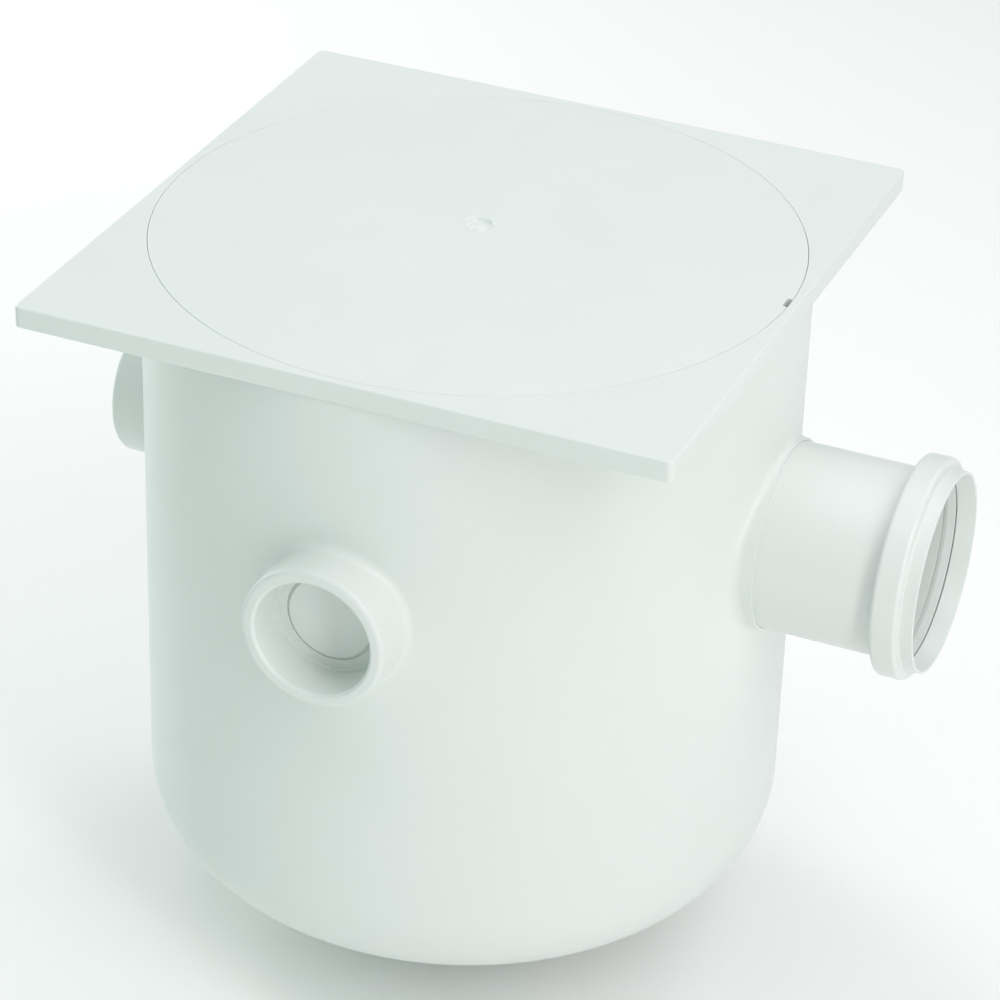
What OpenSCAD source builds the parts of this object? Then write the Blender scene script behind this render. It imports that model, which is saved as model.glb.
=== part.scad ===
// Gully trap: a moulded pot with three blind inlet sockets, a ring-seal outlet,
// a lift-out dip tee, and a square frame that carries a round cover.
// Millimetres. The pot stands on z = 0, its axis is z and the outlet faces +x.

/* [Pot] */
// Outside diameter of the pot
pot_d = 279; // [277:0.5:279.4]
// Thickness of the pot's wall
wall = 3.2; // [3:0.1:3.2]
// Height of the pot, from its foot to its rim
pot_h = 319; // [310:1:330]
// Outside radius of the turn from the wall into the bottom
knuckle_r = 42; // [38:1:46]
// Outside radius of the bowed bottom
crown_r = 201; // [190:1:215]
// Outside radius of the standing ring under the bottom
foot_r = 46; // [40:1:52]

/* [Inlets] */
// Height of the axis that the inlets and the outlet share
port_z = 221; // [212:1:226]
// Bore of an inlet socket, for a 50 mm pipe
inlet_bore_d = 50.3; // [50.2:0.1:50.4]
// Outside diameter of an inlet socket
inlet_d = 62.4; // [60:0.2:64]
// Distance from the pot's axis to an inlet's mouth
inlet_reach = 158.5; // [158:0.5:162]
// Depth of an inlet's bore, from its mouth to the stop
inlet_depth = 18; // [16.5:0.5:18]

/* [Outlet] */
// Bore of the outlet socket, for a 75 mm pipe
outlet_bore_d = 75.4; // [75.3:0.1:75.6]
// Outside diameter of the outlet's barrel
barrel_d = 80; // [79.6:0.1:80.4]
// Distance from the pot's axis to the outlet's mouth
outlet_reach = 211.5; // [208:0.5:216]
// Outside diameter of the bead that houses the seal
bead_d = 94; // [93:0.5:96]
// Outside diameter of the lip at the mouth
lip_d = 85.4; // [85:0.2:87]

/* [Frame] */
// Side of the square frame
frame_w = 280; // [280:0.5:284]
// Height of the frame's edge
edge_h = 9; // [8.5:0.5:10]
// Thickness of the frame's top plate
plate_t = 4; // [3.6:0.2:4.6]
// Diameter of the round recess that the cover lies in
seat_d = 273.2; // [273:0.1:273.4]

/* [Cover] */
// Diameter of the cover
cover_d = 272; // [271.6:0.1:272.2]
// Rise of the cover's domed top, from its edge to its middle
dome_rise = 5; // [4:0.5:6]
// Thickness of the cover's shell
cover_t = 3; // [2.6:0.2:3.4]
// Number of radial ribs under the cover
cover_ribs = 12; // [8:2:16]

/* [Dip tee] */
// Outside diameter of the dip tee's pipe
tee_d = 75; // [74:0.5:75.5]
// Depth of the water seal below the outlet's invert
seal_depth = 60; // [50:5:70]

/* [Hidden] */

$fn = 96;
eps = 0.02;
big = 1000;

pvc = [0.92, 0.95, 0.93];
seal_grey = [0.45, 0.47, 0.47];

// the bowed bottom and the knuckle share a tangent at bow_angle
pot_r = pot_d / 2;
bow_angle = acos((pot_r - knuckle_r) / (crown_r - knuckle_r));
crown_gap = 2;
crown_z = crown_gap + crown_r;
knuckle_z = crown_z - (crown_r - knuckle_r) * sin(bow_angle);
foot_w = 5;

inlet_bearings = [90, 180, 270];
inlet_round = 2.4;
inlet_lead = 1.2;
inlet_blend = 4.5;
blend_margin = 12;
blend_bury = 1;
inlet_stop = inlet_reach - inlet_depth;
knockout_r = 18.2;
groove_r = 23.8;
groove_depth = 2.6;

// outlet socket, as distances from the pot's axis
bond_gap = 0.1;
boss_r = barrel_d / 2 + 1.3;
boss_end = pot_r + 2.8;
boss_blend = 2.4;        // above and below the boss
boss_side_blend = 6;     // at its two sides
barrel_start = 127;
lip_l = 6;
bead_l = 11.5;
bead_round = 2;
bead_start = outlet_reach - lip_l - bead_l;
seal_front = outlet_reach - lip_l - 1.8;
seal_w = 5;
seal_back = seal_front - seal_w;
seal_seat_r = 44.2;
outlet_stop = seal_back - 47;
passage_r = 35.7;

// frame
frame_top = pot_h + edge_h;
corner_r = 3;
edge_round = 0.9;
skirt_t = 3;
seat_depth = 5.1;
ledge_r = 131.8;
spigot_r = pot_r - wall - 0.2;
spigot_t = 3.3;
spigot_h = 25;
rib_t = 2.2;
notch_w = 6;
notch_l = 3.2;

// cover
cover_r = cover_d / 2;
dome_r = (cover_r * cover_r + dome_rise * dome_rise) / (2 * dome_rise);
dome_z = frame_top + dome_rise - dome_r;
rim_r = ledge_r - 1;
rim_t = 3;
rim_z = frame_top - 16;
cover_rib_z = frame_top - 6;

// dip tee, hung from the outlet by its spigot
tee_r = tee_d / 2;
tee_t = 3;
tee_x = 82;
spout_r = passage_r - 0.2;
waterway_r = 32;
spout_start = barrel_start - 0.8;
spout_end = outlet_stop - 2;
dip_z = port_z - waterway_r - seal_depth;
tee_top = port_z + tee_r + 18;
collar_r = tee_r + 2.5;
collar_h = 14;
ring_r = 1.08;          // half the thickness of the two sealing rings
ring_seat = 2.1;        // depth of their seats
spout_ring_x = 139;
plug_r = tee_r - tee_t - 0.2;
plug_depth = 13;
plug_ring_z = tee_top - 8;

// ---- shared shapes ----

// The half of a section that rotate_extrude may turn
module right_half() {
    intersection() {
        children();
        translate([0, -big]) square([big, 2 * big]);
    }
}

// Cutter that rounds the upper outer corner of a section at [x, y]
module corner_cut(x, y, r) {
    translate([x - r, y - r])
        difference() {
            square(r + eps);
            circle(r = r);
        }
}

// Turns a shape that points up so that it leaves the pot at this bearing
module port(bearing) {
    translate([0, 0, port_z])
        rotate([0, 0, bearing])
            rotate([0, 90, 0])
                children();
}

module ring(r_out, r_in, h) {
    difference() {
        cylinder(r = r_out, h = h);
        translate([0, 0, -1]) cylinder(r = r_in, h = h + 2);
    }
}

module torus(r, half) {
    rotate_extrude() translate([r, 0]) circle(r = half, $fn = 32);
}

// ---- pot ----

// Section of the pot's surface, moved inwards by inset
module pot_section(inset, top) {
    translate([0, knuckle_z]) square([pot_r - inset, top - knuckle_z]);
    translate([pot_r - knuckle_r, knuckle_z]) circle(r = knuckle_r - inset);
    translate([0, crown_z])
        intersection() {
            circle(r = crown_r - inset, $fn = 360);
            polygon([[0, 0], [0, -2 * crown_r],
                     2 * crown_r * [cos(bow_angle), -sin(bow_angle)]]);
        }
}

// One section of the rolling-ball blend between a port and the pot, at angle u round
// the port's axis, which is x here. The ball's radius is side at the port's two sides
// and top above and below it. The arc stops blend_margin short of each wall's tangent,
// and both ends are then buried in the wall.
function blend_section(r, side, top, u, steps) =
    let (ball = top + (side - top) * pow(cos(u), 2),
         y = (r + ball) * cos(u),
         z = (r + ball) * sin(u),
         x = sqrt(pow(pot_r + ball, 2) - y * y),
         to_port = [0, -ball * cos(u), -ball * sin(u)],
         to_pot = [-x, -y, 0] * ball / (pot_r + ball),
         turn = acos(to_port * to_pot / (ball * ball)),
         arc = [for (k = [0 : steps])
             let (t = blend_margin + (turn - 2 * blend_margin) * k / steps)
             [x, y, z] + (to_port * sin(turn - t) + to_pot * sin(t)) / sin(turn)],
         dig = 1 - cos(blend_margin) + blend_bury / ball,
         inner_r = r - blend_bury,
         root_x = sqrt(pow(pot_r, 2) - pow(r * cos(u), 2)) - blend_bury)
    concat([[root_x, inner_r * cos(u), inner_r * sin(u)], arc[0] + to_port * dig],
           arc,
           [arc[steps] + to_pot * dig]);

// Soft blend from a port's outside into the pot's wall
module port_blend(r, side, top) {
    around = 40;
    steps = 3;
    sections = [for (i = [0 : around - 1]) blend_section(r, side, top, i * 360 / around, steps)];
    m = len(sections[0]);
    polyhedron(
        points = [for (s = sections) each s],
        faces = [for (i = [0 : around - 1], k = [0 : m - 1])
            let (next = (i + 1) % around * m, here = i * m, up = (k + 1) % m)
            each [[here + k, next + up, here + up], [here + k, next + k, next + up]]],
        convexity = 6);
}

// Outside of an inlet socket, with its rounded mouth
module inlet_stub() {
    rotate_extrude()
        difference() {
            translate([0, pot_r - 10]) square([inlet_d / 2, inlet_reach - pot_r + 10]);
            corner_cut(inlet_d / 2, inlet_reach, inlet_round);
        }
}

// Lead-in, bore and the thinned groove round the knock-out disc
module inlet_cut() {
    bore_r = inlet_bore_d / 2;
    translate([0, 0, inlet_stop]) cylinder(r = bore_r, h = inlet_depth + 1);
    translate([0, 0, inlet_reach - inlet_lead])
        cylinder(r1 = bore_r, r2 = bore_r + inlet_lead + 1, h = inlet_lead + 1);
    translate([0, 0, inlet_stop - groove_depth]) ring(groove_r, knockout_r, groove_depth + eps);
}

// Standing ring with crossed webs, all flush at z = 0
module foot() {
    difference() {
        cylinder(r = foot_r, h = 12);
        translate([0, 0, -1]) cylinder(r = foot_r - foot_w, h = 14);
    }
    for (turn = [0, 90])
        rotate([0, 0, turn])
            translate([1 - foot_r, -wall / 2, 0]) cube([2 * foot_r - 2, wall, 12]);
}

module pot() {
    color(pvc)
    difference() {
        union() {
            rotate_extrude() right_half() pot_section(0, pot_h);
            foot();
            for (bearing = inlet_bearings) {
                port(bearing) inlet_stub();
                translate([0, 0, port_z]) rotate([0, 0, bearing]) port_blend(inlet_d / 2, inlet_blend, inlet_blend);
            }
            port(0) cylinder(r = boss_r, h = boss_end);
            translate([0, 0, port_z]) port_blend(boss_r, boss_side_blend, boss_blend);
        }
        rotate_extrude() right_half() pot_section(wall, pot_h + 1);
        for (bearing = inlet_bearings)
            port(bearing) inlet_cut();
        port(0) cylinder(r = barrel_d / 2 + bond_gap, h = big);
    }
}

// ---- outlet ----

module outlet_outside() {
    translate([0, barrel_start]) square([barrel_d / 2, outlet_reach - barrel_start]);
    translate([0, bead_start]) square([lip_d / 2, outlet_reach - bead_start]);
    difference() {
        translate([0, bead_start]) square([bead_d / 2, bead_l]);
        corner_cut(bead_d / 2, bead_start + bead_l, bead_round);
        translate([0, 2 * bead_start]) mirror([0, 1]) corner_cut(bead_d / 2, bead_start, bead_round);
    }
}

module outlet_socket() {
    bore_r = outlet_bore_d / 2;
    lead_r = 39;
    mouth_r = lip_d / 2 - 1.2;
    color(pvc)
    port(0)
        rotate_extrude()
            difference() {
                outlet_outside();
                square([passage_r, big]);
                translate([0, outlet_stop]) square([bore_r, big]);
                translate([0, seal_back]) square([seal_seat_r, seal_w]);
                // the lip opens towards its mouth
                polygon([[0, seal_front - eps], [lead_r, seal_front - eps],
                         [mouth_r, outlet_reach + eps], [0, outlet_reach + eps]]);
                corner_cut(lip_d / 2, outlet_reach, 0.5);
            }
}

// Lip seal, with its lip as a seated pipe presses it
module outlet_seal() {
    clear = 0.1;
    outer = seal_seat_r - clear;
    inner = seal_seat_r - 3.4;
    tip = outlet_bore_d / 2 - clear;
    color(seal_grey)
    port(0)
        rotate_extrude()
            polygon([[outer, seal_back + clear], [outer, seal_front - clear],
                     [inner, seal_front - clear], [inner, seal_front - 0.5],
                     [tip, seal_back + 1.2],
                     [inner, seal_front - 2.6], [inner, seal_back + clear]]);
}

// ---- frame ----

module rounded_square(w, r) {
    square([w - 2 * r, w], center = true);
    square([w, w - 2 * r], center = true);
    for (x = [-1, 1], y = [-1, 1])
        translate([x, y] * (w / 2 - r)) circle(r = r);
}

// Square slab whose top edge is rounded by edge_round
module soft_slab(w, h) {
    corner = w / 2 - corner_r;
    difference() {
        linear_extrude(h) rounded_square(w, corner_r);
        for (turn = [0 : 90 : 270])
            rotate([0, 0, turn]) {
                translate([-corner, w / 2, h])
                    rotate([90, 0, 90])
                        linear_extrude(2 * corner) corner_cut(0, 0, edge_round);
                translate([corner, corner, 0])
                    rotate_extrude(angle = 90) corner_cut(corner_r, h, edge_round);
            }
    }
}

// Ribs under one corner of the plate, running out from the seat
module corner_ribs() {
    for (turn = [-20 : 10 : 20])
        rotate([0, 0, 45 + turn])
            translate([pot_r - 2, -rib_t / 2, 0]) cube([60, rib_t, edge_h - plate_t + 1]);
}

module frame() {
    seat_r = seat_d / 2;
    color(pvc)
    difference() {
        union() {
            translate([0, 0, pot_h])
                difference() {
                    soft_slab(frame_w, edge_h);
                    // hollow under the plate, between the skirt and the seat
                    difference() {
                        translate([0, 0, -1])
                            linear_extrude(edge_h - plate_t + 1)
                                rounded_square(frame_w - 2 * skirt_t, corner_r - 1);
                        cylinder(r = pot_r + 0.4, h = edge_h);
                        for (turn = [0 : 90 : 270]) rotate([0, 0, turn]) corner_ribs();
                    }
                }
            translate([0, 0, pot_h - spigot_h]) cylinder(r = spigot_r, h = spigot_h + eps);
        }
        translate([0, 0, frame_top - seat_depth]) cylinder(r = seat_r, h = seat_depth + 1);
        translate([0, 0, pot_h - 1]) cylinder(r = ledge_r, h = edge_h + 2);
        translate([0, 0, pot_h - spigot_h - 1]) cylinder(r = spigot_r - spigot_t, h = spigot_h + 1);
        // pocket under the cover's notch, for the tip of a screwdriver
        translate([seat_r - notch_l - 0.6, -notch_w / 2, frame_top - seat_depth - 2.6])
            cube([notch_l, notch_w, 4]);
    }
}

// ---- cover ----

// Section of the dome at this depth below its top surface
module dome_section(depth) {
    translate([0, dome_z]) circle(r = dome_r - depth, $fn = 1440);
}

module cover_shell() {
    flange_z = frame_top - seat_depth;
    rotate_extrude()
        right_half()
            difference() {
                intersection() {
                    dome_section(0);
                    translate([0, rim_z]) square([cover_r, 40]);
                }
                // hollow inside the rim, and the step up from the rim to the flange
                intersection() {
                    dome_section(cover_t);
                    translate([0, rim_z - 1]) square([rim_r - rim_t, 40]);
                }
                translate([rim_r, rim_z - 1]) square([20, flange_z - rim_z + 1]);
                corner_cut(cover_r, frame_top + 0.05, 0.6);
            }
}

module cover_rib_pattern() {
    for (turn = [0 : 360 / cover_ribs : 359])
        rotate([0, 0, turn + 180 / cover_ribs])
            translate([8, -rib_t / 2, cover_rib_z]) cube([rim_r - rim_t - 7, rib_t, 30]);
    translate([0, 0, cover_rib_z]) ring(10, 7.5, 30);
    translate([0, 0, cover_rib_z]) ring(47, 44.8, 30);
    translate([0, 0, cover_rib_z]) ring(88, 85.8, 30);
}

module cover() {
    dimple_r = 12;
    dimple_depth = 0.9;
    apex = frame_top + dome_rise;
    color(pvc)
    difference() {
        union() {
            cover_shell();
            intersection() {
                cover_rib_pattern();
                rotate_extrude() right_half()
                    intersection() {
                        dome_section(cover_t / 2);
                        translate([0, rim_z]) square([rim_r, 40]);
                    }
            }
            // low ring round the moulding gate
            translate([0, 0, apex - 0.25]) torus(6.8, 0.6);
        }
        translate([0, 0, apex + dimple_r - dimple_depth]) sphere(r = dimple_r);
        translate([cover_r - notch_l, -notch_w / 2, rim_z]) cube([notch_l + 1, notch_w, 40]);
    }
}

// ---- dip tee and plug ----

module dip_tee() {
    color(pvc)
    difference() {
        union() {
            translate([tee_x, 0, dip_z]) cylinder(r = tee_r, h = tee_top - dip_z);
            translate([tee_x, 0, tee_top - collar_h]) cylinder(r = collar_r, h = collar_h);
            port(0) translate([0, 0, tee_x]) cylinder(r = tee_r, h = spout_start - tee_x);
            port(0) translate([0, 0, tee_x]) cylinder(r = spout_r, h = spout_end - tee_x);
        }
        translate([tee_x, 0, dip_z - 1]) cylinder(r = tee_r - tee_t, h = tee_top - dip_z + 2);
        port(0) translate([0, 0, tee_x]) cylinder(r = waterway_r, h = spout_end);
        port(0) translate([0, 0, spout_ring_x - ring_r - 0.2])
            ring(spout_r + 1, spout_r - ring_seat, 2 * ring_r + 0.4);
    }
}

module dip_tee_seal() {
    color(seal_grey)
    port(0) translate([0, 0, spout_ring_x]) torus(passage_r - ring_r - 0.03, ring_r);
}

module rodding_plug() {
    top_t = 3;
    grip_h = 16;
    grip_l = 46;
    color(pvc)
    translate([tee_x, 0, 0])
        difference() {
            union() {
                translate([0, 0, tee_top - plug_depth]) cylinder(r = plug_r, h = plug_depth + eps);
                translate([0, 0, tee_top]) cylinder(r = collar_r, h = top_t);
                // grip across the top, with rounded ends
                intersection() {
                    translate([-3, -grip_l / 2, tee_top]) cube([6, grip_l, top_t + grip_h]);
                    translate([-5, 0, tee_top - 12])
                        rotate([0, 90, 0]) cylinder(r = grip_h + top_t + 12, h = 10);
                }
            }
            translate([0, 0, tee_top - plug_depth - 1]) cylinder(r = plug_r - 4.4, h = plug_depth + 1);
            translate([0, 0, plug_ring_z - ring_r - 0.2])
                ring(plug_r + 1, plug_r - ring_seat, 2 * ring_r + 0.4);
        }
}

module rodding_plug_seal() {
    color(seal_grey)
    translate([tee_x, 0, plug_ring_z]) torus(tee_r - tee_t - ring_r - 0.03, ring_r);
}

pot();
outlet_socket();
outlet_seal();
frame();
cover();
dip_tee();
dip_tee_seal();
rodding_plug();
rodding_plug_seal();
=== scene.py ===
import bmesh
import bpy
import math
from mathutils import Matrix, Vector


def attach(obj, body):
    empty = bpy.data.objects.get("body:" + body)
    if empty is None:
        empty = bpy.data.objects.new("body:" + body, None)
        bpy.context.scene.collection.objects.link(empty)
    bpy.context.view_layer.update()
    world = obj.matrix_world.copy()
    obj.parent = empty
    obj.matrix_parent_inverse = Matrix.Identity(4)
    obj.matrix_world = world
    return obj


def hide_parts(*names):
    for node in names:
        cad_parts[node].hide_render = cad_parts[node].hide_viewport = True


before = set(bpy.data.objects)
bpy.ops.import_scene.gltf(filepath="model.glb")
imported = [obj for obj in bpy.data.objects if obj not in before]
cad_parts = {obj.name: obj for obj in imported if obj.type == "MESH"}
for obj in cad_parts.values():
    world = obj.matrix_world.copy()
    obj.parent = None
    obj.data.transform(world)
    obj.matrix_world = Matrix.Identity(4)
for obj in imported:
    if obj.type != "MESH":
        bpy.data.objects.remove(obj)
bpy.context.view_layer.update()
print("frame loaded:", ", ".join(sorted(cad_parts)))


cameraSettings = {
    "place": (0.5281, -1.2511, 1.0106),      # metres
    "turn": (59.179, -1.617, 23.324),        # degrees about x, y, z
    "lens": 132.1,
    "sensor": 36,
}


def makeCamera(s):
    data = bpy.data.cameras.new("studioCamera")
    data.lens = s["lens"]
    data.sensor_width = s["sensor"]
    cam = bpy.data.objects.new("studioCamera", data)
    cam.location = s["place"]
    cam.rotation_euler = [math.radians(a) for a in s["turn"]]
    bpy.context.scene.collection.objects.link(cam)
    bpy.context.scene.camera = cam


makeCamera(cameraSettings)
print("camera ready")


def socketValues(node, values):
    for name, value in values.items():
        node.inputs[name].default_value = value


def makeMouldedSkin():
    # faint clouding of the colour, uneven gloss and a fine orange-peel height
    group = bpy.data.node_groups.new("mouldedSkin", "ShaderNodeTree")
    face = group.interface
    for name, kind in (("Tint", "NodeSocketColor"), ("Cloud", "NodeSocketColor"),
                       ("Cloud Size", "NodeSocketFloat"), ("Gloss Low", "NodeSocketFloat"),
                       ("Gloss High", "NodeSocketFloat"), ("Peel Size", "NodeSocketFloat")):
        face.new_socket(name=name, in_out="INPUT", socket_type=kind)
    for name, kind in (("Color", "NodeSocketColor"), ("Roughness", "NodeSocketFloat"),
                       ("Height", "NodeSocketFloat")):
        face.new_socket(name=name, in_out="OUTPUT", socket_type=kind)
    nodes, links = group.nodes, group.links
    given = nodes.new("NodeGroupInput")
    out = nodes.new("NodeGroupOutput")
    coords = nodes.new("ShaderNodeTexCoord")
    cloud = nodes.new("ShaderNodeTexNoise")
    socketValues(cloud, {"Detail": 3.0, "Roughness": 0.55})
    links.new(coords.outputs["Object"], cloud.inputs["Vector"])
    links.new(given.outputs["Cloud Size"], cloud.inputs["Scale"])
    spread = nodes.new("ShaderNodeMapRange")
    socketValues(spread, {"From Min": 0.32, "From Max": 0.68})
    links.new(cloud.outputs["Fac"], spread.inputs["Value"])
    mixed = nodes.new("ShaderNodeMix")
    mixed.data_type = "RGBA"
    links.new(spread.outputs["Result"], mixed.inputs["Factor"])
    links.new(given.outputs["Tint"], mixed.inputs["A"])
    links.new(given.outputs["Cloud"], mixed.inputs["B"])
    links.new(mixed.outputs["Result"], out.inputs["Color"])
    smear = nodes.new("ShaderNodeTexNoise")
    socketValues(smear, {"Scale": 46.0, "Detail": 4.0, "Distortion": 0.6})
    links.new(coords.outputs["Object"], smear.inputs["Vector"])
    gloss = nodes.new("ShaderNodeMapRange")
    socketValues(gloss, {"From Min": 0.3, "From Max": 0.7})
    links.new(smear.outputs["Fac"], gloss.inputs["Value"])
    links.new(given.outputs["Gloss Low"], gloss.inputs["To Min"])
    links.new(given.outputs["Gloss High"], gloss.inputs["To Max"])
    links.new(gloss.outputs["Result"], out.inputs["Roughness"])
    peel = nodes.new("ShaderNodeTexNoise")
    socketValues(peel, {"Detail": 2.0})
    links.new(coords.outputs["Object"], peel.inputs["Vector"])
    links.new(given.outputs["Peel Size"], peel.inputs["Scale"])
    links.new(peel.outputs["Fac"], out.inputs["Height"])
    return group


mouldedSkin = makeMouldedSkin()


def makeMaterial(name, s):
    mat = bpy.data.materials.new(name)
    mat.use_nodes = True
    nodes, links = mat.node_tree.nodes, mat.node_tree.links
    shader = nodes["Principled BSDF"]
    socketValues(shader, {"Specular IOR Level": s["specular"]})
    skin = nodes.new("ShaderNodeGroup")
    skin.node_tree = mouldedSkin
    socketValues(skin, {"Tint": (*s["tint"], 1), "Cloud": (*s["cloud"], 1),
                        "Cloud Size": s["cloudSize"], "Gloss Low": s["gloss"][0],
                        "Gloss High": s["gloss"][1], "Peel Size": s["peelSize"]})
    links.new(skin.outputs["Color"], shader.inputs["Base Color"])
    links.new(skin.outputs["Roughness"], shader.inputs["Roughness"])
    bump = nodes.new("ShaderNodeBump")
    socketValues(bump, {"Strength": s["peel"], "Distance": 0.0004})
    links.new(skin.outputs["Height"], bump.inputs["Height"])
    links.new(bump.outputs["Normal"], shader.inputs["Normal"])
    return mat


whitePvc = makeMaterial("whitePvc", {
    "tint": (0.79, 0.827, 0.805), "cloud": (0.804, 0.834, 0.816), "cloudSize": 14.0,
    "gloss": (0.30, 0.40), "peelSize": 700.0, "peel": 0.12, "specular": 0.5})
paleRubber = makeMaterial("paleRubber", {
    "tint": (0.72, 0.76, 0.74), "cloud": (0.69, 0.73, 0.71), "cloudSize": 60.0,
    "gloss": (0.55, 0.7), "peelSize": 1500.0, "peel": 0.3, "specular": 0.4})
blackRubber = makeMaterial("blackRubber", {
    "tint": (0.022, 0.022, 0.024), "cloud": (0.03, 0.03, 0.03), "cloudSize": 60.0,
    "gloss": (0.45, 0.6), "peelSize": 1500.0, "peel": 0.3, "specular": 0.4})


def paint(obj, mat):
    obj.data.materials.clear()
    obj.data.materials.append(mat)


for node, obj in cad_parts.items():
    paint(obj, blackRubber if node.endswith("seal") else whitePvc)
print("materials ready")


mm = 0.001                                    # in metres, as the next two are
sameSpot = 1e-7                               # points nearer than this are one
seamGap = 2e-6                                # a turned piece closes on itself across this

# sizes in mm that several pieces share
sharedSettings = {
    "portHeight": 221, "rim": 319, "seatHeight": 322.9, "top": 328, "steps": 256,
}


def pickNothing():
    bpy.ops.object.select_all(action="DESELECT")


def pickOnly(obj):
    pickNothing()
    obj.select_set(True)
    bpy.context.view_layer.objects.active = obj


def applyPlace(obj):
    pickOnly(obj)
    bpy.ops.object.transform_apply(location=True, rotation=True, scale=True)


def startPoint(name, place):
    # a plane merged into one vertex, ready to be drawn out
    pickNothing()
    bpy.ops.mesh.primitive_plane_add(size=0.01, location=(0, 0, 0))
    obj = bpy.context.object
    obj.name = obj.data.name = name
    bpy.ops.object.mode_set(mode="EDIT")
    bpy.ops.mesh.select_mode(type="VERT")
    bpy.ops.mesh.select_all(action="SELECT")
    bpy.ops.mesh.merge(type="CENTER")
    bpy.ops.transform.translate(value=place)
    return obj


def softOutline(corners, cuts=6):
    # corners are (radius, height, rounding) in mm; a rounded one becomes a short arc
    made = []
    for i, (x, y, rounding) in enumerate(corners):
        here = Vector((x, y))
        if not rounding:
            made.append(here)
            continue
        back = (Vector(corners[i - 1][:2]) - here).normalized()
        on = (Vector(corners[(i + 1) % len(corners)][:2]) - here).normalized()
        half = back.angle(on) / 2
        middle = here + (back + on).normalized() * rounding / math.sin(half)
        start = here + back * rounding / math.tan(half) - middle
        end = here + on * rounding / math.tan(half) - middle
        turn = math.pi - 2 * half
        for k in range(cuts + 1):
            part = turn * k / cuts
            made.append(middle + (start * math.sin(turn - part) + end * math.sin(part)) / math.sin(turn))
    return made


def turnedPiece(name, outline, steps, middle, axis, out, closed=True):
    # an outline of (radius, height) in mm, drawn out vertex by vertex and spun round
    middle, axis, out = Vector(middle), Vector(axis), Vector(out)
    points = [middle + (out * r + axis * h) * mm for r, h in outline]
    obj = startPoint(name, points[0])
    for a, b in zip(points, points[1:]):
        bpy.ops.mesh.extrude_region_move(TRANSFORM_OT_translate={"value": b - a})
    if closed:
        mesh = bmesh.from_edit_mesh(obj.data)
        for v in mesh.verts:
            v.select = min((v.co - points[0]).length, (v.co - points[-1]).length) < sameSpot
        mesh.select_flush_mode()
        bpy.ops.mesh.edge_face_add()
    bpy.ops.mesh.select_all(action="SELECT")
    bpy.ops.mesh.spin(steps=steps, angle=2 * math.pi, center=middle, axis=axis)
    bpy.ops.mesh.select_all(action="SELECT")
    bpy.ops.mesh.remove_doubles(threshold=seamGap)
    bpy.ops.mesh.normals_make_consistent(inside=False)
    bpy.ops.object.mode_set(mode="OBJECT")
    return obj


def turnedUpright(name, outline, steps, closed=True):
    # about the pot's axis; an outline that starts and ends on it is left open
    return turnedPiece(name, outline, steps, (0, 0, 0), (0, 0, 1), (1, 0, 0), closed)


def turnedOnOutlet(name, outline, s):
    # about the outlet's axis, its heights measured out from the pot's axis
    return turnedPiece(name, outline, s["steps"], (0, 0, s["portHeight"] * mm), (1, 0, 0), (0, 0, 1))


def block(low, high):
    # a box between two corners in mm
    low, high = Vector(low) * mm, Vector(high) * mm
    pickNothing()
    bpy.ops.mesh.primitive_cube_add(size=1, location=(low + high) / 2, scale=high - low)
    obj = bpy.context.object
    applyPlace(obj)
    return obj


def turnedCopy(obj, turn):
    # a copy with its own mesh, turned about the z axis in degrees
    twin = obj.copy()
    twin.data = obj.data.copy()
    bpy.context.scene.collection.objects.link(twin)
    twin.rotation_euler.z = math.radians(turn)
    applyPlace(twin)
    return twin


def upright(a, b):
    # true of an edge that runs up, its two ends given in mm
    return abs(a.z - b.z) > 1


def atHeight(height):
    # true of an edge that lies at this height
    return lambda a, b: max(abs(a.z - height), abs(b.z - height)) < 0.1


def bevelEdges(obj, wanted, width, segments):
    # bevels the edges whose two ends (in mm) pass the test
    pickOnly(obj)
    bpy.ops.object.mode_set(mode="EDIT")
    bpy.ops.mesh.select_mode(type="EDGE")
    bpy.ops.mesh.select_all(action="DESELECT")
    mesh = bmesh.from_edit_mesh(obj.data)
    for e in mesh.edges:
        e.select = wanted(e.verts[0].co / mm, e.verts[1].co / mm)
    bmesh.update_edit_mesh(obj.data)
    bpy.ops.mesh.bevel(offset=width * mm, segments=segments, affect="EDGES")
    bpy.ops.object.mode_set(mode="OBJECT")


def useModifier(obj, kind, **values):
    pickOnly(obj)
    bpy.ops.object.modifier_add(type=kind)
    modifier = obj.modifiers[-1]
    for key, value in values.items():
        setattr(modifier, key, value)
    bpy.ops.object.modifier_apply(modifier=modifier.name)


def cutBy(obj, tool, how="DIFFERENCE"):
    useModifier(obj, "BOOLEAN", operation=how, object=tool, solver="EXACT")
    bpy.data.objects.remove(tool)


def joinAll(obj, others):
    pickOnly(obj)
    for other in others:
        other.select_set(True)
    bpy.ops.object.join()


def finishPiece(obj, body, mat, nodes, angle=35):
    applyPlace(obj)
    bpy.ops.object.shade_smooth_by_angle(angle=math.radians(angle))
    useModifier(obj, "WEIGHTED_NORMAL", keep_sharp=True, weight=60)
    paint(obj, mat)
    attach(obj, body)
    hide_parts(*nodes)
    print("made", obj.name, len(obj.data.polygons), "faces")


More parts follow.
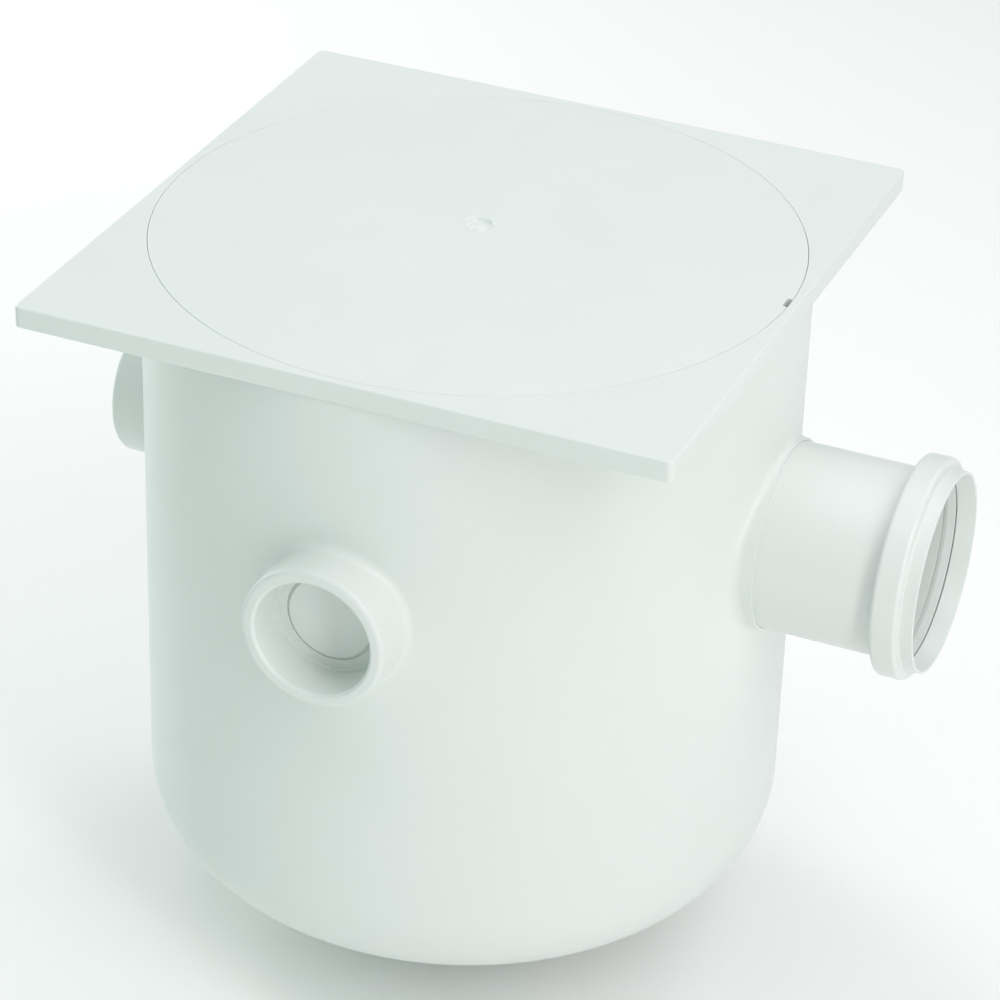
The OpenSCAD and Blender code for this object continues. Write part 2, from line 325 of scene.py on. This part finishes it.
potSettings = {
    **sharedSettings,
    "radius": 139.5, "wall": 3.2, "rimRound": 0.5,
    # the bottom bows by the crown's radius and turns into the wall by the knuckle's
    "crown": 201, "crownGap": 2, "crownSteps": 20, "knuckle": 42, "knuckleSteps": 14,
    "footOuter": 46, "footInner": 41, "footBlend": 4,
    "webWidth": 3.2, "webHeight": 6.4, "webRound": 0.4,
    # the wall's rows; round the ports each is as high as a step is wide
    "rowsBelow": (84, 100, 120, 140, 155), "rowsAbove": (285, 300, 314), "cell": 3.424,
    "patchRings": 3, "filletRings": 10,
    # a fillet's radius is given at the port's two sides and above and below it
    "inlet": {"bearings": (90, 180, 270), "cells": 12, "outside": 31.2, "fillet": (4.5, 4.5),
              "shoulder": 149, "mouth": 158.5, "mouthRound": 2.4, "lead": 26.35, "leadStart": 157.3,
              "bore": 25.15, "stop": 140.5, "ledge": 23.8, "ledgeFloor": 139.8, "groove": 19.5,
              "grooveFloor": 138.9, "disc": 18.2, "discMiddle": 12},
    "boss": {"bearing": 0, "cells": 15, "outside": 41.3, "fillet": (6, 2.4), "filletEnd": 142,
             "end": 142.3, "bore": 40.1, "boreStart": 141},
}


def potCurve(s, inset):
    # from the middle of the bowed bottom out and up to the foot of the straight wall
    reach = s["radius"] - s["knuckle"]
    bow = math.acos(reach / (s["crown"] - s["knuckle"]))
    crownMiddle = s["crownGap"] + s["crown"]
    knuckleMiddle = crownMiddle - (s["crown"] - s["knuckle"]) * math.sin(bow)
    crown, knuckle = s["crown"] - inset, s["knuckle"] - inset
    made = []
    for k in range(s["crownSteps"] + 1):
        a = (math.pi / 2 - bow) * k / s["crownSteps"]
        made.append((crown * math.sin(a), crownMiddle - crown * math.cos(a)))
    for k in range(1, s["knuckleSteps"] + 1):
        a = bow * k / s["knuckleSteps"] - bow
        made.append((reach + knuckle * math.cos(a), knuckleMiddle + knuckle * math.sin(a)))
    return made


def addFoot(s, curve):
    # the standing ring breaks the bowed bottom between its two radii
    def height(r):
        return s["crownGap"] + s["crown"] - math.sqrt(s["crown"] ** 2 - r * r)
    inner, outer, blend = s["footInner"], s["footOuter"], s["footBlend"]
    ring = softOutline([
        (inner - blend, height(inner - blend), 0), (inner, height(inner), 0.8), (inner, 0, 0.6),
        (outer, 0, 0.6), (outer, height(outer), 0.8), (outer + blend, height(outer + blend), 0)], 4)
    clear = blend + 0.5
    return [p for p in curve if p[0] < inner - clear] + [tuple(p) for p in ring] \
        + [p for p in curve if p[0] > outer + clear]


def wallRows(s):
    # heights of the wall's rows, even ones where the ports are
    reach = s["boss"]["cells"] + 1
    even = [s["portHeight"] + k * s["cell"] for k in range(-reach, reach + 1)]
    return [*s["rowsBelow"], *even, *s["rowsAbove"]]


def potOutline(s):
    outer, inner, last = s["radius"], s["radius"] - s["wall"], s["rowsAbove"][-1]
    outside = addFoot(s, potCurve(s, 0)) + [(outer, z) for z in wallRows(s)]
    inside = potCurve(s, s["wall"]) + [(inner, z) for z in wallRows(s)]
    rim = softOutline([(outer, last, 0), (outer, s["rim"], s["rimRound"]),
                       (inner, s["rim"], s["rimRound"]), (inner, last, 0)], 3)[1:-1]
    return outside + [tuple(p) for p in rim] + inside[::-1]


def portPlace(bearing, up, out, across, height):
    # a point given out of, across and above a port's axis, in mm
    a = math.radians(bearing)
    return Vector((out * math.cos(a) - across * math.sin(a), out * math.sin(a) + across * math.cos(a),
                   up + height)) * mm


def openPatch(obj, s, bearing, cells, inside):
    # takes a square of faces out of one side of the wall and leaves its edge selected
    radius = s["radius"] - (s["wall"] if inside else 0)
    a = math.radians(bearing)
    near = 0.5
    reach = radius * math.sin(2 * math.pi / s["steps"] * cells)
    rise = cells * s["cell"]

    def fromAxis(place):
        c = place / mm
        out = c.x * math.cos(a) + c.y * math.sin(a)
        across = -c.x * math.sin(a) + c.y * math.cos(a)
        onWall = out > 0 and abs(math.hypot(c.x, c.y) - radius) < near
        return onWall, abs(across), abs(c.z - s["portHeight"])

    mesh = bmesh.from_edit_mesh(obj.data)
    for face in mesh.faces:
        onWall, across, height = fromAxis(face.calc_center_median())
        face.select = onWall and across < reach - near and height < rise - near
    mesh.select_flush_mode()
    bmesh.update_edit_mesh(obj.data)
    bpy.ops.mesh.delete(type="FACE")
    bpy.ops.mesh.select_mode(type="EDGE")
    mesh = bmesh.from_edit_mesh(obj.data)
    for e in mesh.edges:
        onWall, across, height = fromAxis((e.verts[0].co + e.verts[1].co) / 2)
        e.select = e.is_boundary and onWall and (across > reach - near or height > rise - near)
    mesh.select_flush_mode()
    bmesh.update_edit_mesh(obj.data)


def drawPort(obj, s, bearing, rings, widen=1):
    # each ring is the last one extruded, with its points put where place(angle, spot) says;
    # a point's spot is where it started on the square edge
    a = math.radians(bearing)
    mesh = bmesh.from_edit_mesh(obj.data)
    keep = mesh.verts.layers.float_vector["portSpot"]
    for v in mesh.verts:
        if v.select:
            c = v.co / mm
            across, up = -c.x * math.sin(a) + c.y * math.cos(a), c.z - s["portHeight"]
            v[keep] = Vector((across, up, math.atan2(up, across * widen)))
    for place in rings:
        bpy.ops.mesh.extrude_edges_move()
        mesh = bmesh.from_edit_mesh(obj.data)
        keep = mesh.verts.layers.float_vector["portSpot"]
        for v in mesh.verts:
            if v.select:
                spot = v[keep]
                v.co = portPlace(bearing, s["portHeight"], *place(spot.z, spot))
        bmesh.update_edit_mesh(obj.data)


def roundRing(reach, out):
    def place(angle, spot):
        return out, reach * math.cos(angle), reach * math.sin(angle)
    return place


def wallRing(radius, share, goal):
    # a ring on the wall, part of the way from the square edge to the goal's ring
    def place(angle, spot):
        _, across, height = goal(angle, spot)
        across = spot.x + (across - spot.x) * share
        height = spot.y + (height - spot.y) * share
        return math.sqrt(radius ** 2 - across ** 2), across, height
    return place


def filletRing(s, port, part):
    # a ring of the fillet that a rolling ball leaves between the wall and the port
    def place(angle, spot):
        radius, outside = s["radius"], port["outside"]
        side, top = port["fillet"]
        ball = top + (side - top) * math.cos(angle) ** 2
        across, height = (outside + ball) * math.cos(angle), (outside + ball) * math.sin(angle)
        out = math.sqrt((radius + ball) ** 2 - across ** 2)
        middle = Vector((out, across, height))
        toWall = Vector((-out, -across, 0)) * ball / (radius + ball)
        toPort = Vector((0, -ball * math.cos(angle), -ball * math.sin(angle)))
        turn = toWall.angle(toPort)
        wallShare, portShare = math.sin(turn * (1 - part)), math.sin(turn * part)
        return middle + (toWall * wallShare + toPort * portShare) / math.sin(turn)
    return place


def wallRings(s, radius, goal):
    count = s["patchRings"]
    return [wallRing(radius, k / count, goal) for k in range(1, count + 1)]


def portFoot(s, port):
    # rings from the square edge over the wall and up the fillet
    count = s["filletRings"]
    return wallRings(s, s["radius"], filletRing(s, port, 0)) \
        + [filletRing(s, port, k / count) for k in range(1, count + 1)]


def drawInlets(obj, s):
    inlet = s["inlet"]
    mouth, stop, ledgeFloor = inlet["mouth"], inlet["stop"], inlet["ledgeFloor"]
    socket = softOutline([
        (inlet["outside"], inlet["shoulder"], 0), (inlet["outside"], mouth, inlet["mouthRound"]),
        (inlet["lead"], mouth, 0.6), (inlet["bore"], inlet["leadStart"], 0.6),
        (inlet["bore"], stop, 0.25), (inlet["ledge"], stop, 0.25),
        (inlet["ledge"], ledgeFloor, 0.2), (inlet["groove"], ledgeFloor, 0.3),
        (inlet["groove"], inlet["grooveFloor"], 0.3), (inlet["disc"], inlet["grooveFloor"], 0.3),
        (inlet["disc"], stop, 0.3), (inlet["discMiddle"], stop, 0)], 5)
    for bearing in inlet["bearings"]:
        openPatch(obj, s, bearing, inlet["cells"], inside=False)
        drawPort(obj, s, bearing, portFoot(s, inlet) + [roundRing(r, out) for r, out in socket])
        bpy.ops.mesh.edge_face_add()
        bpy.ops.mesh.select_mode(type="FACE")


def drawBoss(obj, s):
    # the fillet runs out just under the boss's end at its two sides
    boss, inner = s["boss"], s["radius"] - s["wall"]
    neck = softOutline([
        (boss["outside"], boss["filletEnd"], 0), (boss["outside"], boss["end"], 0.2),
        (boss["bore"], boss["end"], 0.2), (boss["bore"], boss["boreStart"], 0)], 4)[1:]
    bore = roundRing(boss["bore"], 0)
    openPatch(obj, s, boss["bearing"], boss["cells"], inside=False)
    drawPort(obj, s, boss["bearing"], portFoot(s, boss) + [roundRing(r, out) for r, out in neck]
             + [wallRing(inner, 1, bore)])
    bpy.ops.mesh.select_mode(type="FACE")
    openPatch(obj, s, boss["bearing"], boss["cells"], inside=True)
    drawPort(obj, s, boss["bearing"], wallRings(s, inner, bore), widen=s["radius"] / inner)


def addWebs(obj, s):
    reach, side = s["footInner"] + 1, s["webWidth"] / 2
    web = block((-reach, -side, 0), (reach, side, s["webHeight"]))
    useModifier(web, "BEVEL", width=s["webRound"] * mm, segments=2)
    joinAll(obj, [web, turnedCopy(web, 90)])


def makePot(s):
    obj = turnedUpright("potShell", potOutline(s), s["steps"], closed=False)
    bpy.ops.object.mode_set(mode="EDIT")
    bpy.ops.mesh.select_mode(type="FACE")
    mesh = bmesh.from_edit_mesh(obj.data)
    mesh.verts.layers.float_vector.new("portSpot")
    bmesh.update_edit_mesh(obj.data)
    drawInlets(obj, s)
    drawBoss(obj, s)
    bpy.ops.mesh.select_mode(type="VERT")
    bpy.ops.mesh.select_all(action="SELECT")
    bpy.ops.mesh.remove_doubles(threshold=10 * seamGap)
    bpy.ops.mesh.normals_make_consistent(inside=False)
    bpy.ops.object.mode_set(mode="OBJECT")
    obj.data.attributes.remove(obj.data.attributes["portSpot"])
    addWebs(obj, s)
    finishPiece(obj, "trap", whitePvc, ["pot"], angle=40)


makePot(potSettings)


outletSettings = {
    **sharedSettings,
    "start": 127, "barrel": 40, "bore": 37.7, "passage": 35.7, "stop": 151.7,
    "bead": 47, "beadStart": 194, "beadEnd": 205.5, "shoulder": 2, "lip": 42.7, "mouth": 211.5,
    "mouthBore": 41.5, "leadEnd": 203.7, "leadBore": 39, "seat": 44.2, "seatStart": 198.7,
    "steps": 160,
}


def makeOutlet(s):
    corners = [
        (s["passage"], s["start"], 0.4), (s["barrel"], s["start"], 0.4),
        (s["barrel"], s["beadStart"], 0.9), (s["bead"], s["beadStart"], s["shoulder"]),
        (s["bead"], s["beadEnd"], s["shoulder"]), (s["lip"], s["beadEnd"], 0.8),
        (s["lip"], s["mouth"], 0.45), (s["mouthBore"], s["mouth"], 0.35),
        (s["leadBore"], s["leadEnd"], 0.4), (s["seat"], s["leadEnd"], 0.3),
        (s["seat"], s["seatStart"], 0.3), (s["bore"], s["seatStart"], 0.4),
        (s["bore"], s["stop"], 0.3), (s["passage"], s["stop"], 0.4)]
    obj = turnedOnOutlet("outletSocket", softOutline(corners), s)
    finishPiece(obj, "trap", whitePvc, ["outlet_socket"])


makeOutlet(outletSettings)


sealSettings = {
    **sharedSettings,
    "start": 198.8, "end": 203.4, "outer": 44.1, "inner": 38.9, "lip": 37.6, "lipAt": 200.3,
    "steps": 160,
}


def makeSeal(s):
    # its lip leans back into the bore
    corners = [
        (s["outer"], s["start"], 0.3), (s["outer"], s["end"], 0.3), (s["inner"], s["end"], 0.5),
        (s["lip"], s["lipAt"], 0.8), (s["lip"], s["start"], 0.1)]
    obj = turnedOnOutlet("lipSeal", softOutline(corners), s)
    finishPiece(obj, "trap", paleRubber, ["outlet_seal"])


makeSeal(sealSettings)


frameSettings = {
    **sharedSettings,
    "width": 280, "cornerRound": 3, "topRound": 0.9, "bottomRound": 0.4,
    "ledge": 131.8, "seat": 136.43, "lipRound": 0.3, "lipTop": 328.03, "mouthLow": 310, "mouthHigh": 337,
    "spigot": 136.1, "spigotBore": 132.8, "spigotBottom": 294, "spigotTop": 320,
    # a cutting tool starts lower than the one it is cut out of
    "edgeWall": 3, "plate": 4, "pocketRound": 2, "pocketLow": 318, "hub": 139.9, "hubLow": 314,
    "corners": (45, 135, 225, 315), "ribBearings": (-20, -10, 0, 10, 20),
    "ribWidth": 2.2, "ribStart": 137.5, "ribEnd": 210, "ribLow": 316,
    "notchWidth": 6, "notchStart": 132.63, "notchEnd": 135.83, "notchLow": 320.3, "notchHigh": 324.3,
}


def mouthTool(s):
    # cuts the opening, the ledge and the seat, whose rounded lip ends a hair above the plate
    low, high, lipTop = s["mouthLow"], s["mouthHigh"], s["lipTop"]
    outline = softOutline([
        (0, low, 0), (s["ledge"], low, 0), (s["ledge"], s["seatHeight"], 0.3),
        (s["seat"], s["seatHeight"], 0.3), (s["seat"], lipTop, s["lipRound"]),
        (s["width"] / 2, lipTop, 0)], 5)[:-1]
    outline += [Vector((s["seat"] + s["lipRound"], high)), Vector((0, high))]
    return turnedUpright("mouthTool", outline, s["steps"], closed=False)


def spigotRing(s):
    outline = softOutline([
        (s["spigotBore"], s["spigotBottom"], 0.5), (s["spigot"], s["spigotBottom"], 0.5),
        (s["spigot"], s["spigotTop"], 0), (s["spigotBore"], s["spigotTop"], 0)], 4)
    return turnedUpright("spigotRing", outline, s["steps"])


def pocketTool(s):
    # the room under the plate between the hub and the edge walls, less the corners' ribs
    top, inner = s["top"], s["width"] / 2 - s["edgeWall"]
    tool = block((-inner, -inner, s["pocketLow"]), (inner, inner, top - s["plate"]))
    bevelEdges(tool, upright, s["pocketRound"], 4)
    hub = [(0, s["hubLow"]), (s["hub"], s["hubLow"]), (s["hub"], top), (0, top)]
    cutBy(tool, turnedUpright("hubTool", hub, s["steps"], closed=False))
    side = s["ribWidth"] / 2
    rib = block((s["ribStart"], -side, s["ribLow"]), (s["ribEnd"], side, top))
    for corner in s["corners"]:
        for turn in s["ribBearings"]:
            cutBy(tool, turnedCopy(rib, corner + turn))
    bpy.data.objects.remove(rib)
    return tool


def notchTool(s):
    # room in the ledge for a lifter's tip under the cover's notch
    side = s["notchWidth"] / 2
    return block((s["notchStart"], -side, s["notchLow"]), (s["notchEnd"], side, s["notchHigh"]))


def makeFrame(s):
    half, bottom, top = s["width"] / 2, s["rim"], s["top"]
    obj = block((-half, -half, bottom), (half, half, top))
    obj.name = obj.data.name = "squareFrame"
    bevelEdges(obj, upright, s["cornerRound"], 8)
    bevelEdges(obj, atHeight(top), s["topRound"], 4)
    bevelEdges(obj, atHeight(bottom), s["bottomRound"], 2)
    cutBy(obj, mouthTool(s))
    cutBy(obj, spigotRing(s), "UNION")
    cutBy(obj, pocketTool(s))
    cutBy(obj, notchTool(s))
    finishPiece(obj, "trap", whitePvc, ["frame"])


makeFrame(frameSettings)


coverSettings = {
    **sharedSettings,
    "radius": 136.23, "rise": 5, "edge": 0.3, "edgeStart": 134.63, "rings": 28,
    "skirt": 130.8, "skirtInside": 127.8, "skirtBottom": 312, "shell": 3, "underRings": 12,
    # radius and depth below the dome
    "gate": ((0, 0.05), (0.8, 0.1), (1.5, 0.3), (2.2, 0.7), (2.9, 1.2), (3.5, 1.6), (4.1, 1.8),
             (4.7, 1.75), (5.2, 1.45), (5.6, 0.9), (5.9, 0.3), (6.1, 0.05), (6.3, 0)),
    "gateRing": 7.1, "gateRingHalf": 0.5, "gateRingUp": 0.2, "gateRingSteps": 8, "plainStart": 8,
    "notchWidth": 7, "notchDepth": 2, "notchRound": 0.9, "notchReach": 2, "notchLow": 307, "notchHigh": 337,
    # the ribs run into the plate and the skirt by these, less into the plate near the middle
    "ribSink": 1, "ribSinkMiddle": 0.5, "ribBite": 0.8,
    "ribs": 12, "ribWidth": 2.2, "ribBottom": 322, "ribStart": 8, "ribRound": 0.3,
    "ribRings": (8.75, 45.9, 86.9), "ribRingSteps": 96,
}


def domeHeight(s, r, depth=0):
    ball = (s["radius"] ** 2 + s["rise"] ** 2) / (2 * s["rise"])
    return s["top"] + s["rise"] - ball + math.sqrt((ball - depth) ** 2 - r * r)


def domeRings(s, first, last, count, depth=0):
    radii = [first + (last - first) * k / count for k in range(count + 1)]
    return [(r, domeHeight(s, r, depth)) for r in radii]


def gateMark(s):
    # a button in a hollow, with a low ring round it
    made = [(r, domeHeight(s, r) - depth) for r, depth in s["gate"]]
    for k in range(s["gateRingSteps"] + 1):
        a = math.pi * k / s["gateRingSteps"]
        r = s["gateRing"] - math.cos(a) * s["gateRingHalf"]
        made.append((r, domeHeight(s, r) + math.sin(a) * s["gateRingUp"]))
    return made


def coverOutline(s):
    outer, last, skirt, inside = s["radius"], s["edgeStart"], s["skirt"], s["skirtInside"]
    top = gateMark(s) + domeRings(s, s["plainStart"], last, s["rings"])
    under = domeRings(s, inside, 0, s["underRings"], s["shell"])[1:]
    side = softOutline([
        (last, domeHeight(s, last), 0), (outer, domeHeight(s, outer), s["edge"]),
        (outer, s["seatHeight"], 0.3), (skirt, s["seatHeight"], 0.3),
        (skirt, s["skirtBottom"], 0.5), (inside, s["skirtBottom"], 0.5),
        (inside, domeHeight(s, inside, s["shell"]), 1.5), (*under[0], 0)])[1:-1]
    return [*top, *[tuple(p) for p in side], *under]


def coverNotch(s):
    outer, side = s["radius"], s["notchWidth"] / 2
    tool = block((outer - s["notchDepth"], -side, s["notchLow"]),
                 (outer + s["notchReach"], side, s["notchHigh"]))
    useModifier(tool, "BEVEL", width=s["notchRound"] * mm, segments=4)
    return tool


def coverRib(s):
    # runs along x, and its inner end's top is lifted to the dome's underside
    inside, side = s["skirtInside"], s["ribWidth"] / 2
    top = domeHeight(s, inside, s["shell"]) + s["ribSink"]
    rib = block((s["ribStart"], -side, s["ribBottom"]), (inside + s["ribBite"], side, top))
    bpy.ops.object.mode_set(mode="EDIT")
    mesh = bmesh.from_edit_mesh(rib.data)
    for v in mesh.verts:
        away = math.hypot(v.co.x, v.co.y) / mm
        if v.co.z / mm > s["ribBottom"] + 1 and away < inside / 2:
            v.co.z = (domeHeight(s, away, s["shell"]) + s["ribSinkMiddle"]) * mm
    bmesh.update_edit_mesh(rib.data)
    bpy.ops.object.mode_set(mode="OBJECT")
    useModifier(rib, "BEVEL", width=s["ribRound"] * mm, segments=2)
    return rib


def coverRibRing(s, r):
    half, top = s["ribWidth"] / 2, domeHeight(s, r, s["shell"]) + s["ribSink"]
    outline = softOutline([
        (r - half, s["ribBottom"], s["ribRound"]), (r + half, s["ribBottom"], s["ribRound"]),
        (r + half, top, 0), (r - half, top, 0)])
    return turnedUpright("ribRing", outline, s["ribRingSteps"])


def makeCover(s):
    obj = turnedUpright("coverPlate", coverOutline(s), s["steps"], closed=False)
    cutBy(obj, coverNotch(s))
    rib = coverRib(s)
    ribs = [turnedCopy(rib, 360 * (k + 0.5) / s["ribs"]) for k in range(s["ribs"])]
    bpy.data.objects.remove(rib)
    joinAll(obj, ribs + [coverRibRing(s, r) for r in s["ribRings"]])
    finishPiece(obj, "cover", whitePvc, ["cover"])


makeCover(coverSettings)


studioSettings = {
    "floorSize": 9.0,                         # metres
    "floorColor": (0.985, 0.97, 0.97),
    "world": (0.9, 1.0, 0.965),
    "worldStrength": 0.416,
    # name: place and aim in metres, width and height, watts, colour
    "lights": {
        "top": ((0, 0, 2.0), (0, 0, 0.3), (1.8, 1.8), 12.2, (1.0, 0.93, 0.97)),
        "keyHigh": ((1.212, -0.7, 1.7), (0, 0, 0.25), (0.9, 0.9), 6.8, (1.0, 0.96, 0.97)),
        "keyStrip": ((1.537, -1.117, 0.75), (0, 0, 0.2), (0.3, 1.5), 9.7, (0.99, 1.0, 0.99)),
        "leftFront": ((-1.645, -0.95, 0.75), (0, 0, 0.2), (0.6, 1.3), 2.5, (0.2, 1.0, 0.7)),
        "leftRear": ((-1.645, 0.95, 0.75), (0, 0, 0.2), (0.6, 1.3), 14.7, (0.975, 1.0, 0.99)),
        "rearHigh": ((0.7, 1.212, 1.7), (0, 0, 0.25), (0.9, 0.9), 4.9, (0.97, 1.0, 1.0)),
    },
}


def makeStudio(s):
    pickNothing()
    bpy.ops.mesh.primitive_plane_add(size=s["floorSize"], location=(0, 0, 0))
    floor = bpy.context.object
    floor.name = "studioFloor"
    mat = bpy.data.materials.new("palePaper")
    mat.use_nodes = True
    socketValues(mat.node_tree.nodes["Principled BSDF"],
                 {"Base Color": (*s["floorColor"], 1), "Roughness": 0.9, "Specular IOR Level": 0.1})
    floor.data.materials.append(mat)
    world = bpy.data.worlds.new("studioWorld")
    world.use_nodes = True
    socketValues(world.node_tree.nodes["Background"],
                 {"Color": (*s["world"], 1), "Strength": s["worldStrength"]})
    bpy.context.scene.world = world
    for name, (place, aim, size, power, color) in s["lights"].items():
        data = bpy.data.lights.new(name + "Light", "AREA")
        data.shape = "RECTANGLE"
        data.size, data.size_y = size
        data.energy = power
        data.color = color
        lamp = bpy.data.objects.new(name + "Light", data)
        lamp.location = place
        lamp.rotation_euler = (Vector(aim) - Vector(place)).to_track_quat("-Z", "Y").to_euler()
        bpy.context.scene.collection.objects.link(lamp)
    bpy.context.scene.view_settings.view_transform = "Standard"


makeStudio(studioSettings)
print("studio ready")
